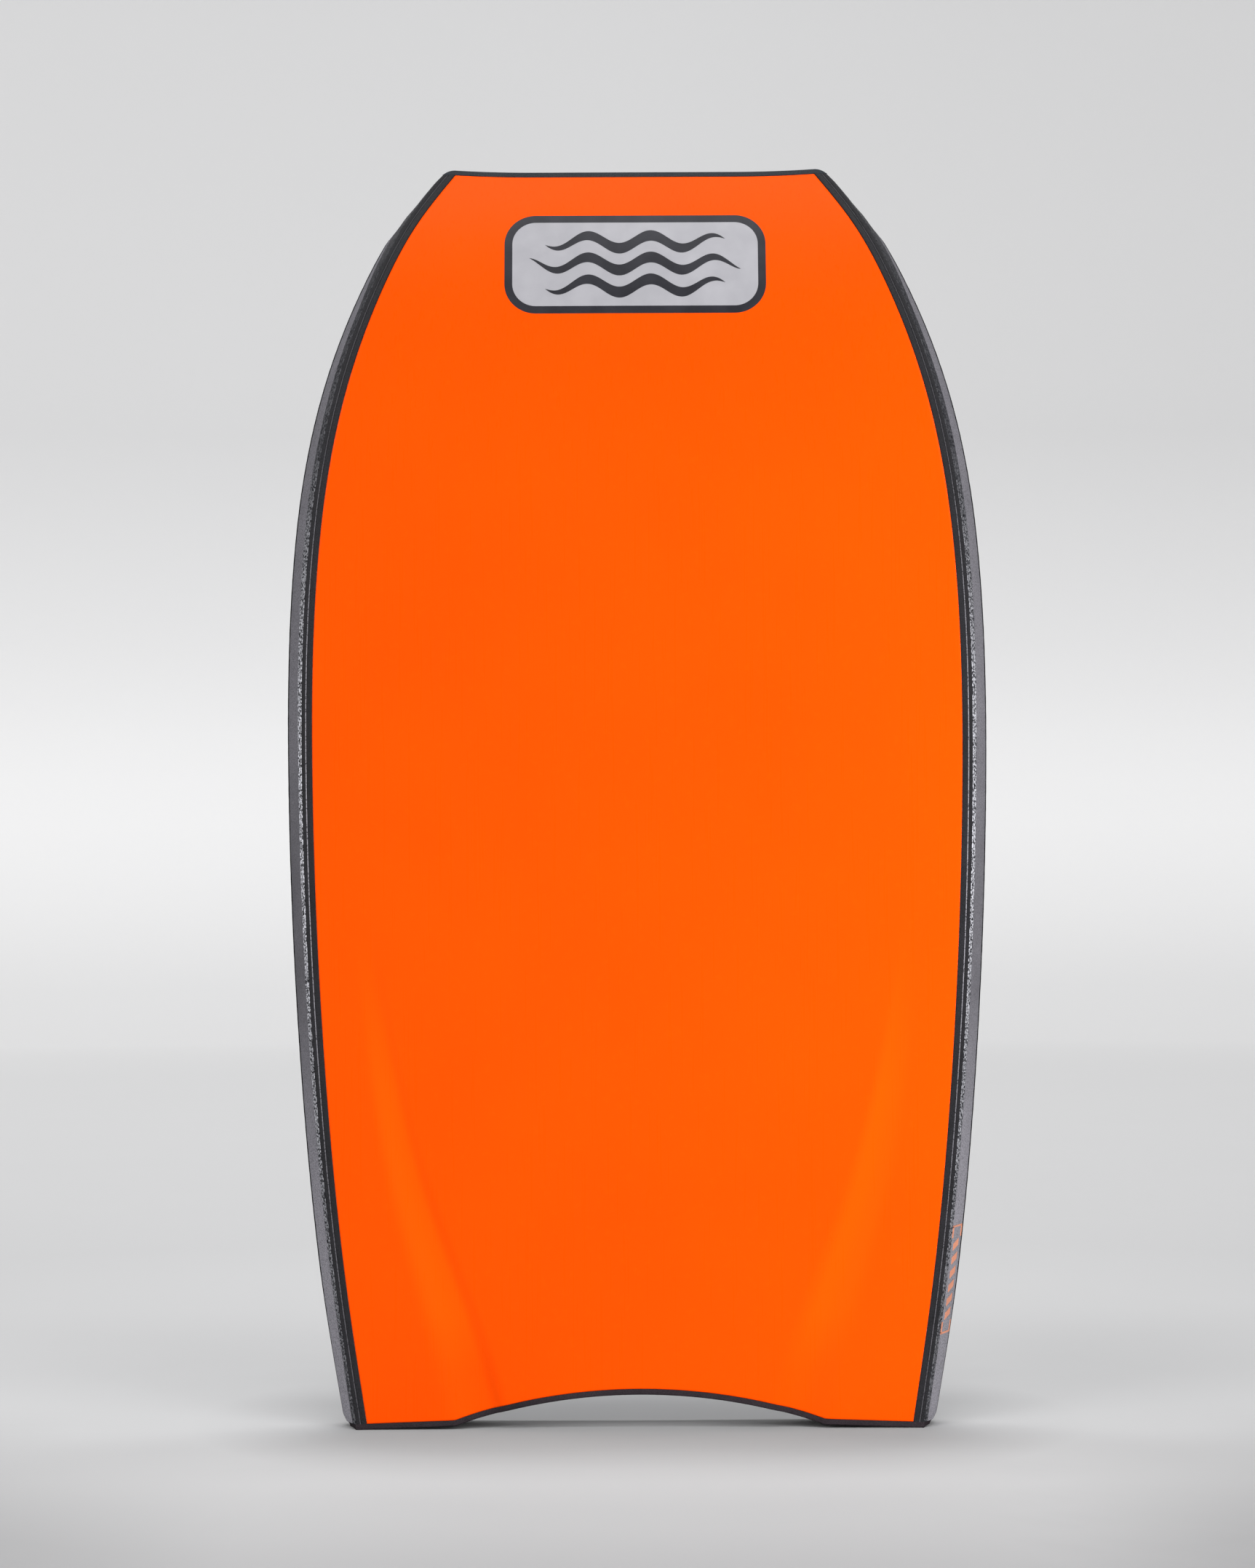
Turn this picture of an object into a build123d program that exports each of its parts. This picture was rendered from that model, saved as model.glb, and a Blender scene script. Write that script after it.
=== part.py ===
from build123d import *
import math
import os
import numpy as np

# A 44 inch crescent-tail bodyboard, standing on its tail with the nose up.
#
# The board is a foam blank with a stringer tube bored into it, a plastic slick on
# the bottom, a foam skin on the deck, two layers of foam rail down each side, a foam
# band across the nose and the tail, and two grip bulbs on the deck at the nose.
#
# Frame: +Z runs from tail to nose, the slick faces -Y, the deck faces +Y, and +X is
# the rider's left. The origin is the centre of the bounding box, on the floor.
#
# Two more coordinates follow the board itself: v is the distance from the tail along
# the slick, and w is the depth into the board, 0 on the slick and THICKNESS on the deck.

# Overall sizes, in millimetres.
LENGTH = 1118.0
THICKNESS = 60.0
ROCKER_START = 800.0  # height at which the nose begins to curve away
NOSE_RISE = 66.0  # how far the slick has curved back at the nose

# Plan shape of the slick: (height, half width) from the tail to the nose.
PLAN = [
    (0.0, 239.6), (120.0, 257.2), (300.0, 274.8), (575.0, 286.0), (780.0, 279.0),
    (910.0, 257.0), (1017.0, 219.8), (1071.0, 191.3), (1112.0, 161.2),
]

# Skins, bands and rail layers.
SLICK = 1.5
DECK_SKIN = 4.5
BAND = 5.0
RAIL_INNER = 5.5
RAIL_OUTER = 4.5
APEX = 0.6 * THICKNESS  # the rail is widest 60% of the way up
FLARE = 14.0  # how much wider the apex is than the slick side of the rail
TUCK = 19.0  # how far the rail turns in again above the apex

# Tail: two pegs, lowest at their outer corners, with a crescent between them.
PEG_INSIDE = 162.0
PEG_RISE = 3.0  # how much higher a peg is where it meets the crescent
CRESCENT = 30.0
TAIL_CORNER = 14.5
TAIL_CORNER_START = 249.5
TAIL_CORNER_TURN = 80.0  # degrees

# Nose: nearly straight, with the last stretch swept up to each corner.
NOSE_FLAT = 90.0
NOSE_SWEEP = 2.6
NOSE_CORNER = 14.0
NOSE_CORNER_START = 161.0
NOSE_CORNER_TURN = 44.0  # degrees
CORNER_OUTER = 3.0  # how thick the outer rail layer is where the nose's corner cuts the rails
CORNER_LAYERS = 7.0  # and both layers together

# Channels in the slick: (height, centre from the midline, half width, depth).
CHANNEL = [
    (-20.0, 136.0, 29.0, 5.0), (90.0, 163.0, 26.0, 4.6), (200.0, 198.0, 20.0, 3.6),
    (300.0, 221.0, 15.0, 2.2), (430.0, 240.0, 9.0, 0.3),
]
CHANNEL_FLOOR = (-0.68, -0.02)  # flat part, as shares of the half width; it lies towards the midline

# Stringer, a glass-fibre tube in a bore on the midline.
TUBE_OUTSIDE = 19.0
TUBE_WALL = 1.6
TUBE_FOOT = 62.0
TUBE_LENGTH = 790.0
CAP_HEAD = 3.0
CAP_SHANK = 18.0

# Grip bulbs on the deck at the nose corners.
BULB_LENGTH = 132.0
BULB_WIDTH = 42.0
BULB_HEIGHT = 10.0
BULB_ROUND = 8.5
BULB_CENTRE = 140.0
BULB_BELOW_NOSE = 74.0
BULB_LEAN = 47.0  # degrees from the midline, along the side of the nose

SIDES = {"left": 1, "right": -1}  # the rider's left is +X
REACH = 400.0  # half size of the tools that cut the board
SPARE = 6.0  # how far a tool runs past the face that it cuts
PAST_TAIL = 25.0
PAST_NOSE = 14.0
STATIONS = [50, 130, 240, 370, 500, 620, 720, 800, 860, 915, 965, 1010, 1050, 1090]  # of the lofts
PEG_SLOPE = PEG_RISE / (TAIL_CORNER_START - PEG_INSIDE)
NOSE_RUN = LENGTH - NOSE_SWEEP - ROCKER_START
ROCKER_RADIUS = (NOSE_RUN**2 + NOSE_RISE**2) / (2 * NOSE_RISE)
NOSE_ANGLE = math.asin(NOSE_RUN / ROCKER_RADIUS)
NOSE_V = ROCKER_START + ROCKER_RADIUS * NOSE_ANGLE


def on_board(x, v, w):
    """The point x across, v along and w deep, before the board is centred."""
    if v <= ROCKER_START:
        return Vector(x, w, v)
    turn = (v - ROCKER_START) / ROCKER_RADIUS
    inner = ROCKER_RADIUS - w
    return Vector(x, ROCKER_RADIUS - inner * math.cos(turn), ROCKER_START + inner * math.sin(turn))


TIP = Plane(
    origin=on_board(0, NOSE_V, 0),
    x_dir=(1, 0, 0),
    z_dir=(0, -math.cos(NOSE_ANGLE), math.sin(NOSE_ANGLE)),
)  # x across, y up the board, where the slick ends


def plan_spline():
    """Natural cubic spline through PLAN: the heights, half widths and second derivatives."""
    z, half = np.array(PLAN).T
    gap = np.diff(z)
    slope = np.diff(half) / gap
    matrix = np.eye(len(z))
    right = np.zeros(len(z))
    for i in range(1, len(z) - 1):
        matrix[i, i - 1 : i + 2] = gap[i - 1], 2 * (gap[i - 1] + gap[i]), gap[i]
        right[i] = 6 * (slope[i] - slope[i - 1])
    return z, half, np.linalg.solve(matrix, right)


PLAN_SPLINE = plan_spline()


def half_width(height):
    """Half width of the slick at a height, carried on in a straight line past its ends."""
    z, half, second = PLAN_SPLINE
    inside = min(max(height, z[0]), z[-1])
    i = min(int(np.searchsorted(z, inside, side="right")) - 1, len(z) - 2)
    gap = z[i + 1] - z[i]
    a, b = (z[i + 1] - inside) / gap, (inside - z[i]) / gap
    bend = ((a**3 - a) * second[i] + (b**3 - b) * second[i + 1]) * gap**2 / 6
    value = a * half[i] + b * half[i + 1] + bend
    if inside == height:
        return value
    step = 1.0 if height > inside else -1.0
    return value + (value - half_width(inside - step)) * (height - inside) / step


def envelope(layers):
    """The board out to a thickness of rail layers, running past the deck, slick and both ends."""
    sections = []
    for v in [-PAST_TAIL, *STATIONS, NOSE_V + PAST_NOSE]:
        height = on_board(0, v, 0).Z
        edge = half_width(height)
        lean = half_width(height + 1) - half_width(height - 1)
        square = math.sqrt(1 + (lean / 2) ** 2)  # widths are square to the outline
        low = layers - FLARE * SPARE / APEX
        top = layers + FLARE - TUCK * (THICKNESS + SPARE - APEX) / (THICKNESS - APEX)
        rise = [(low, -SPARE), (layers + FLARE, APEX), (top, THICKNESS + SPARE)]
        right = [on_board(edge + out * square, v, w) for out, w in rise]
        left = [on_board(-edge - out * square, v, w) for out, w in reversed(rise)]
        sections.append(Wire.make_polygon(right + left, close=True))
    return Solid.make_loft(sections, ruled=False)


def slab(low, high):
    """Everything between two depths, along the flat and round the rocker."""
    foot, end = -REACH / 4, NOSE_V + 4 * SPARE
    middle = (ROCKER_START + end) / 2

    def along(w):
        start, bend, tip = (on_board(0, v, w) for v in (ROCKER_START, middle, end))
        return Line(Vector(0, w, foot), start), ThreePointArc(start, bend, tip)

    low_line, low_arc = along(low)
    high_line, high_arc = along(high)
    edges = [low_line, low_arc, Line(low_arc @ 1, high_arc @ 1), high_arc, high_line]
    outline = Wire([*edges, Line(high_line @ 0, low_line @ 0)])
    return extrude(Face(outline), amount=REACH, dir=(1, 0, 0), both=True)


def mirrored(edges):
    """The edges and their images across the midline."""
    return [*edges, *(edge.mirror(Plane.YZ) for edge in edges)]


def corner_arc(start, radius, turn, direction):
    """Three points of a bend that leaves a line along x and turns through an angle."""
    x, z = start
    return [
        (x + radius * math.sin(angle), z + direction * radius * (1 - math.cos(angle)))
        for angle in (0.0, turn / 2, turn)
    ]


def prism(outline, plane):
    """A tool that runs through the board, from an outline drawn in a plane."""
    return extrude(plane * Face(Wire(outline)), amount=REACH, both=True)


def peg_point(x, inset):
    """A point on the straight edge of a peg, moved inset into the board."""
    return x, PEG_SLOPE * (TAIL_CORNER_START - x) + inset


def tail_tool(inset):
    """What lies below the tail's edge, moved inset into the board. At the edge its corners are round."""
    hollow = CRESCENT - PEG_RISE
    radius = (PEG_INSIDE**2 + hollow**2) / (2 * hollow) + inset
    centre = CRESCENT + inset - radius
    # A peg's edge meets the crescent's circle where a quadratic in x is zero.
    above = peg_point(0.0, inset)[1] - centre
    square = 1 + PEG_SLOPE**2
    kink = (PEG_SLOPE * above + math.sqrt(square * radius**2 - above**2)) / square
    kink_z = peg_point(kink, inset)[1]
    if inset:
        rim = peg_point(REACH, inset)
        half = [Line((kink, kink_z), rim)]
    else:
        turn = math.radians(TAIL_CORNER_TURN)
        bend = corner_arc((TAIL_CORNER_START, 0), TAIL_CORNER, turn, 1)
        rim = (REACH, bend[2][1] + (REACH - bend[2][0]) * math.tan(turn))
        half = [Line((kink, kink_z), bend[0]), ThreePointArc(*bend), Line(bend[2], rim)]
    half = [*half, Line(rim, (REACH, -REACH))]
    crescent = ThreePointArc((-kink, kink_z), (0, centre + radius), (kink, kink_z))
    floor = Line((-REACH, -REACH), (REACH, -REACH))
    return prism([crescent, *mirrored(half), floor], Plane.XZ)


def corner_sweep(inset):
    """The last stretch of the nose's edge, which rises towards the corner."""
    middle = (NOSE_FLAT + NOSE_CORNER_START) / 2
    return [
        (NOSE_FLAT, -inset),
        (middle, NOSE_SWEEP / 4 - inset),
        (NOSE_CORNER_START, NOSE_SWEEP - inset),
    ]


def nose_tool(inset):
    """What lies past the nose's edge, moved inset into the board. At the edge its corners are round."""
    sweep = corner_sweep(inset)
    if inset:
        rim = (REACH, sweep[2][1])
        half = [Line(sweep[2], rim)]
    else:
        turn = math.radians(NOSE_CORNER_TURN)
        bend = corner_arc(sweep[2], NOSE_CORNER, turn, -1)
        rim = (REACH, bend[2][1] - (REACH - bend[2][0]) * math.tan(turn))
        half = [ThreePointArc(*bend), Line(bend[2], rim)]
    half = [
        Line((0, sweep[0][1]), sweep[0]),
        ThreePointArc(*sweep),
        *half,
        Line(rim, (REACH, REACH)),
        Line((REACH, REACH), (0, REACH)),
    ]
    return prism(mirrored(half), TIP)


def corner_tool(side, inset):
    """What lies past the straight cut at one corner of the nose, moved inset into the board."""
    turn = math.radians(NOSE_CORNER_TURN)
    bend = corner_arc(corner_sweep(0.0)[2], NOSE_CORNER, turn, -1)
    top = bend[2][1] + bend[2][0] * math.tan(turn) - inset / math.cos(turn)
    low = top - REACH * math.tan(turn)
    corners = [(0.0, top), (side * REACH, low), (side * REACH, top)]
    return prism([Line(a, b) for a, b in zip(corners, corners[1:] + corners[:1])], TIP)


def channel_tool(side, deeper):
    """The trough of one channel, sunk by the thickness of whatever lies over it."""
    sections = []
    for height, centre, half, depth in CHANNEL:
        inner, outer = (half * share for share in CHANNEL_FLOOR)
        floor = [(inner, depth), (outer, depth)]
        trough = [(-half, -SPARE), (-half, 0.0), *floor, (half, 0.0), (half, -SPARE)]
        ring = [(side * (centre + x), y + deeper, height) for x, y in trough]
        sections.append(Wire.make_polygon(ring, close=True))
    return Solid.make_loft(sections, ruled=False)


def within_corners(shape, inset):
    """The shape without whatever lies past the cut corners of the nose, moved inset into the board."""
    return shape - corner_tool(1, inset) - corner_tool(-1, inset)


# Solids that more than one piece is cut from.
OUTSIDE = envelope(RAIL_INNER + RAIL_OUTER) - tail_tool(0.0) - nose_tool(0.0)
BETWEEN_RAILS = within_corners(envelope(RAIL_INNER), CORNER_OUTER) - tail_tool(0.0)
INSIDE = within_corners(envelope(0.0), CORNER_LAYERS)
CHANNELS = [channel_tool(side, 0.0) for side in SIDES.values()]
CHANNEL_BACKS = [channel_tool(side, SLICK) for side in SIDES.values()]
TAIL_INNER = tail_tool(BAND)
NOSE_INNER = nose_tool(BAND)


def within_bands(shape):
    """The shape without whatever lies in the tail band and the nose band, or past them."""
    return shape - TAIL_INNER - NOSE_INNER


def on_side(shape, side):
    """The one solid of the shape that lies on a side of the midline."""
    return max(shape.solids(), key=lambda solid: side * solid.center().X)


def make_slick():
    skin = slab(0.0, SLICK)
    for back in CHANNEL_BACKS:
        skin = skin + (back & slab(0.0, THICKNESS))
    for channel in CHANNELS:
        skin = skin - channel
    return within_bands(skin & INSIDE)


def make_core():
    core = INSIDE & slab(SLICK, THICKNESS - DECK_SKIN)
    for back in CHANNEL_BACKS:
        core = core - back
    bore = stringer_rod(TUBE_OUTSIDE, TUBE_FOOT - CAP_HEAD, TUBE_LENGTH + 2 * CAP_HEAD)
    return within_bands(core) - bore


def make_deck_skin():
    return within_bands(INSIDE & slab(THICKNESS - DECK_SKIN, THICKNESS))


def make_rail_inner(side):
    strip = (BETWEEN_RAILS & slab(0.0, APEX)) - INSIDE
    return on_side(within_bands(strip), side)


def make_rail_outer(side):
    strip = (OUTSIDE & slab(0.0, APEX)) - BETWEEN_RAILS
    return on_side(within_bands(strip), side)


def make_rail_upper(side):
    strip = (OUTSIDE & slab(APEX, THICKNESS)) - INSIDE
    return on_side(within_bands(strip), side)


def make_tail_band():
    band = OUTSIDE & slab(0.0, THICKNESS) & TAIL_INNER
    for channel in CHANNELS:
        band = band - channel
    return band


def make_nose_band():
    return OUTSIDE & slab(0.0, THICKNESS) & NOSE_INNER


def stringer_rod(diameter, foot, length):
    """A round bar on the line of the stringer."""
    middle = (SLICK + THICKNESS - DECK_SKIN) / 2
    return extrude(Plane((0, middle, foot)) * Circle(diameter / 2), amount=length)


def make_stringer():
    inside = stringer_rod(TUBE_OUTSIDE - 2 * TUBE_WALL, TUBE_FOOT, TUBE_LENGTH)
    return stringer_rod(TUBE_OUTSIDE, TUBE_FOOT, TUBE_LENGTH) - inside


def make_stringer_cap(head_foot, shank_foot):
    head = stringer_rod(TUBE_OUTSIDE, head_foot, CAP_HEAD)
    return head + stringer_rod(TUBE_OUTSIDE - 2 * TUBE_WALL, shank_foot, CAP_SHANK)


def make_bulb(side):
    """A long rounded pad that lies on the deck beside the nose."""
    v = NOSE_V - BULB_BELOW_NOSE
    turn = (v - ROCKER_START) / ROCKER_RADIUS
    up_board = Vector(0, math.sin(turn), math.cos(turn))
    off_deck = Vector(0, math.cos(turn), -math.sin(turn))
    lean = math.radians(BULB_LEAN)
    along = up_board * math.cos(lean) - Vector(side, 0, 0) * math.sin(lean)
    seat = Plane(
        origin=on_board(side * BULB_CENTRE, v, THICKNESS - SPARE), x_dir=along, z_dir=off_deck
    )
    pad = extrude(seat * SlotOverall(BULB_LENGTH, BULB_WIDTH), amount=BULB_HEIGHT + SPARE)
    top = pad.faces().sort_by(seat.location.z_axis)[-1]
    pad = fillet(top.edges(), BULB_ROUND)
    return pad - slab(0.0, THICKNESS)


def make_board():
    """Every piece by name, before the board is centred on its origin."""
    tube_end = TUBE_FOOT + TUBE_LENGTH
    pieces = {
        "core": make_core(),
        "slick": make_slick(),
        "deck_skin": make_deck_skin(),
        "tail_band": make_tail_band(),
        "nose_band": make_nose_band(),
        "stringer": make_stringer(),
        "stringer_cap_tail": make_stringer_cap(TUBE_FOOT - CAP_HEAD, TUBE_FOOT),
        "stringer_cap_nose": make_stringer_cap(tube_end, tube_end - CAP_SHANK),
    }
    for name, side in SIDES.items():
        pieces["rail_inner_" + name] = make_rail_inner(side)
        pieces["rail_outer_" + name] = make_rail_outer(side)
        pieces["rail_upper_" + name] = make_rail_upper(side)
        pieces["bulb_" + name] = make_bulb(side)
    return pieces


os.makedirs("parts", exist_ok=True)
board = make_board()
box = Compound(children=[Compound(piece.solids()) for piece in board.values()]).bounding_box()
origin = Pos(-box.center().X, -box.center().Y, -box.min.Z)
for name, piece in board.items():
    export_step(origin * Compound(piece.solids()), "parts/" + name + ".step")
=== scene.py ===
"""Looks of the crescent-tail bodyboard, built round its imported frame.

Board coordinates, as in the CAD: x across (+X is the rider's left), v along the slick
from the tail, w deep, 0 on the slick and THICK on the deck. All lengths are in metres.
"""

import bmesh
import bpy
import math
import numpy as np
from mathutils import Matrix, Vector


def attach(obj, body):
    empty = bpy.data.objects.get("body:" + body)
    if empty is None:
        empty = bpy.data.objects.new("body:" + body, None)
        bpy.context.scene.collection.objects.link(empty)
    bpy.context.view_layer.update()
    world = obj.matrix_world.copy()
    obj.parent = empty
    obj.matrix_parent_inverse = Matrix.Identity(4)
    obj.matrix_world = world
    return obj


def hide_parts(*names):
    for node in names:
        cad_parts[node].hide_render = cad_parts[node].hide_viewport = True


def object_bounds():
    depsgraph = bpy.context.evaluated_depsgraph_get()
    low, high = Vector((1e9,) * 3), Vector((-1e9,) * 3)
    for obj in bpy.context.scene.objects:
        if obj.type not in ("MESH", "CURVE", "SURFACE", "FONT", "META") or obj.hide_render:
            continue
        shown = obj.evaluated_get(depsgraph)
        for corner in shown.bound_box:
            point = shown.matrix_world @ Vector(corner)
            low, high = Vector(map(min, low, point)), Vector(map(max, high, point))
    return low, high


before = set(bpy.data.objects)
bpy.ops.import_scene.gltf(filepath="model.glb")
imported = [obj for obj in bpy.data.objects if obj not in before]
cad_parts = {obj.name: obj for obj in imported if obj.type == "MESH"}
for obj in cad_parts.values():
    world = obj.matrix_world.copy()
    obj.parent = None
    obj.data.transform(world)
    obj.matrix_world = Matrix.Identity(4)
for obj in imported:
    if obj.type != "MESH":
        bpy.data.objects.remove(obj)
cad_low, cad_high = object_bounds()

# ---------------------------------------------------------------- the board's own shape
THICK = 0.060
ROCKER_START = 0.800
NOSE_SWEEP = 0.0026
NOSE_RISE = 0.066
NOSE_RUN = 1.118 - NOSE_SWEEP - ROCKER_START
ROCKER_R = (NOSE_RUN**2 + NOSE_RISE**2) / (2 * NOSE_RISE)
NOSE_ANGLE = math.asin(NOSE_RUN / ROCKER_R)
NOSE_V = ROCKER_START + ROCKER_R * NOSE_ANGLE
PLAN = [
    (0.000, 0.2396), (0.120, 0.2572), (0.300, 0.2748), (0.575, 0.2860), (0.780, 0.2790),
    (0.910, 0.2570), (1.017, 0.2198), (1.071, 0.1913), (1.112, 0.1612),
]
SLICK = 0.0015
DECK_SKIN = 0.0045
BAND = 0.005
RAIL_ALL = 0.010
APEX = 0.036
FLARE = 0.014
TUCK = 0.019
PEG_INSIDE = 0.162
PEG_RISE = 0.003
CRESCENT = 0.030
TAIL_CORNER = 0.0145
TAIL_CORNER_START = 0.2495
TAIL_TURN = math.radians(80)
NOSE_FLAT = 0.090
NOSE_CORNER = 0.014
NOSE_CORNER_START = 0.161
NOSE_TURN = math.radians(44)
CHANNEL = [
    (-0.020, 0.136, 0.029, 0.0050), (0.090, 0.163, 0.026, 0.0046), (0.200, 0.198, 0.020, 0.0036),
    (0.300, 0.221, 0.015, 0.0022), (0.430, 0.240, 0.009, 0.0003),
]
CHANNEL_END = 0.450
CHANNEL_FADE = 0.05  # over this length it runs out to nothing
CHANNEL_STEP = 0.001
CHANNEL_FLOOR = (-0.42, -0.12)  # the floor lies towards the midline; the outer wall is long and gentle
CHANNEL_RIM = 1.06


def place(x, v, w):
    """A board point in the row frame."""
    if v <= ROCKER_START:
        return Vector((x, cad_low.y + w, v))
    turn = (v - ROCKER_START) / ROCKER_R
    inner = ROCKER_R - w
    return Vector((x, cad_low.y + ROCKER_R - inner * math.cos(turn), ROCKER_START + inner * math.sin(turn)))


def natural_spline(points):
    z, value = np.array(points).T
    gap = np.diff(z)
    slope = np.diff(value) / gap
    matrix = np.eye(len(z))
    right = np.zeros(len(z))
    for i in range(1, len(z) - 1):
        matrix[i, i - 1 : i + 2] = gap[i - 1], 2 * (gap[i - 1] + gap[i]), gap[i]
        right[i] = 6 * (slope[i] - slope[i - 1])
    second = np.linalg.solve(matrix, right)

    def at(h):
        h = min(max(h, z[0]), z[-1])
        i = min(int(np.searchsorted(z, h, side="right")) - 1, len(z) - 2)
        g = z[i + 1] - z[i]
        a, b = (z[i + 1] - h) / g, (h - z[i]) / g
        bent = ((a**3 - a) * second[i] + (b**3 - b) * second[i + 1]) * g * g / 6
        return a * value[i] + b * value[i + 1] + bent

    return at


plan_at = natural_spline(PLAN)
SLOPE_STEP = 0.001
EDGE_STEP = 0.0005
EDGE_REACH = 1.16  # past the nose's furthest point


def exact_edge(v):
    """Half width of the slick at v, and the factor that makes widths square to the outline."""
    z = place(0, v, 0).z
    top = PLAN[-1][0]
    inside = min(z, top - SLOPE_STEP)
    slope = (plan_at(inside + SLOPE_STEP) - plan_at(inside - SLOPE_STEP)) / (2 * SLOPE_STEP)
    return plan_at(z) + slope * max(0.0, z - top), math.sqrt(1 + slope * slope)


EDGES = [exact_edge(i * EDGE_STEP) for i in range(int(EDGE_REACH / EDGE_STEP))]


def edge(v):
    """The same as exact_edge, read from a table."""
    spot = max(v, 0.0) / EDGE_STEP
    i = int(spot)
    t = spot - i
    (half, square), (next_half, next_square) = EDGES[i], EDGES[i + 1]
    return half + (next_half - half) * t, square + (next_square - square) * t


def side_out(w):
    """How far the rail leans out at a depth."""
    if w < APEX:
        return FLARE * w / APEX
    return FLARE - TUCK * (w - APEX) / (THICK - APEX)


def tail_v(x, inset):
    """The tail's edge across the board, moved inset into it."""
    x = abs(x)
    hollow = CRESCENT - PEG_RISE
    radius = (PEG_INSIDE**2 + hollow**2) / (2 * hollow) + inset
    value = inset + (TAIL_CORNER_START - x) * PEG_RISE / (TAIL_CORNER_START - PEG_INSIDE)
    if x < PEG_INSIDE + inset:
        value = max(value, CRESCENT + inset - radius + math.sqrt(radius**2 - x * x))
    if not inset and x > TAIL_CORNER_START:
        reach = min((x - TAIL_CORNER_START) / TAIL_CORNER, math.sin(TAIL_TURN))
        value = TAIL_CORNER * (1 - math.sqrt(1 - reach * reach))
        value += max(0.0, x - TAIL_CORNER_START - TAIL_CORNER * math.sin(TAIL_TURN)) * math.tan(TAIL_TURN)
    return value


def nose_v(x, inset):
    """The nose's edge across the board, moved inset into it."""
    x = abs(x)
    rise = min(max((x - NOSE_FLAT) / (NOSE_CORNER_START - NOSE_FLAT), 0.0), 1.0)
    value = NOSE_V - inset + NOSE_SWEEP * rise * rise
    if not inset and x > NOSE_CORNER_START:
        reach = min((x - NOSE_CORNER_START) / NOSE_CORNER, math.sin(NOSE_TURN))
        value -= NOSE_CORNER * (1 - math.sqrt(1 - reach * reach))
        value -= max(0.0, x - NOSE_CORNER_START - NOSE_CORNER * math.sin(NOSE_TURN)) * math.tan(NOSE_TURN)
    return value


def corner_limit(v):
    """The most that x can be at v, because the tail's and the nose's corners are cut round."""
    stop = TAIL_CORNER * (1 - math.cos(TAIL_TURN))
    wide = TAIL_CORNER_START + TAIL_CORNER * math.sin(TAIL_TURN)
    if v <= stop:
        return TAIL_CORNER_START + math.sqrt(max(0.0, TAIL_CORNER**2 - (TAIL_CORNER - max(v, 0.0)) ** 2))
    limit = wide + (v - stop) / math.tan(TAIL_TURN)
    top = NOSE_V + NOSE_SWEEP
    drop = top - v
    bend = NOSE_CORNER * (1 - math.cos(NOSE_TURN))
    if drop < bend:
        near = NOSE_CORNER_START + math.sqrt(max(0.0, NOSE_CORNER**2 - (NOSE_CORNER - max(drop, 0.0)) ** 2))
    else:
        near = NOSE_CORNER_START + NOSE_CORNER * math.sin(NOSE_TURN) + (drop - bend) / math.tan(NOSE_TURN)
    return min(limit, near)


def soft_min(a, b, k=0.003):
    h = max(k - abs(a - b), 0.0) / k
    return min(a, b) - h * h * k / 4


def rail_point(side, out, v, w):
    """A point at a distance out from the slick's edge line, kept inside the rounded corners."""
    half, square = edge(v)
    return place(side * soft_min(half + out * square, corner_limit(v)), v, w)


channel_rows = [natural_spline([(row[0], row[i]) for row in CHANNEL]) for i in (1, 2, 3)]
CHANNELS = [
    tuple(at(k * CHANNEL_STEP) for at in channel_rows) for k in range(int(CHANNEL_END / CHANNEL_STEP) + 2)
]


def channel_depth(x, v):
    """How deep the slick sinks in at a point."""
    if v >= CHANNEL_END:
        return 0.0
    centre, half, depth = CHANNELS[int(round(max(v, 0.0) / CHANNEL_STEP))]
    fade = min(1.0, (CHANNEL_END - v) / CHANNEL_FADE)
    t = (abs(x) - centre) / half
    inner, outer = CHANNEL_FLOOR
    t = (t - outer) / (CHANNEL_RIM - outer) if t > 0 else (inner - t) / (CHANNEL_RIM + inner)
    t = min(max(t, 0.0), 1.0)
    return depth * fade * (1 - t * t * (3 - 2 * t))


# ---------------------------------------------------------------- meshes
board_pieces = []


def finish_mesh(name, points, faces, materials, slot, angle=38.0):
    mesh = bpy.data.meshes.new(name)
    mesh.from_pydata([tuple(p) for p in points], [], [f[0] for f in faces])
    for m in materials:
        mesh.materials.append(m)
    mesh.polygons.foreach_set("material_index", [f[1] for f in faces])
    mesh.polygons.foreach_set("use_smooth", [True] * len(faces))
    work = bmesh.new()
    work.from_mesh(mesh)
    bmesh.ops.recalc_face_normals(work, faces=work.faces)
    work.to_mesh(mesh)
    work.free()
    mesh.update()
    mesh.set_sharp_from_angle(angle=math.radians(angle))
    obj = bpy.data.objects.new(name, mesh)
    bpy.context.scene.collection.objects.link(obj)
    if slot:
        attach(obj, "root")
        board_pieces.append(obj)
    return obj


def loft(name, rings, materials, slot, paint=None, angle=38.0):
    """A closed tube through rings of points, with a cap at each end."""
    n = len(rings[0])
    points = [p for ring in rings for p in ring]
    faces = []
    for i in range(len(rings) - 1):
        for j in range(n):
            k = (j + 1) % n
            quad = (i * n + j, i * n + k, (i + 1) * n + k, (i + 1) * n + j)
            faces.append((quad, paint[j] if paint else 0))
    faces.append((tuple(range(n))[::-1], 0))
    faces.append((tuple(range(len(points) - n, len(points))), 0))
    return finish_mesh(name, points, faces, materials, slot, angle)


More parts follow.
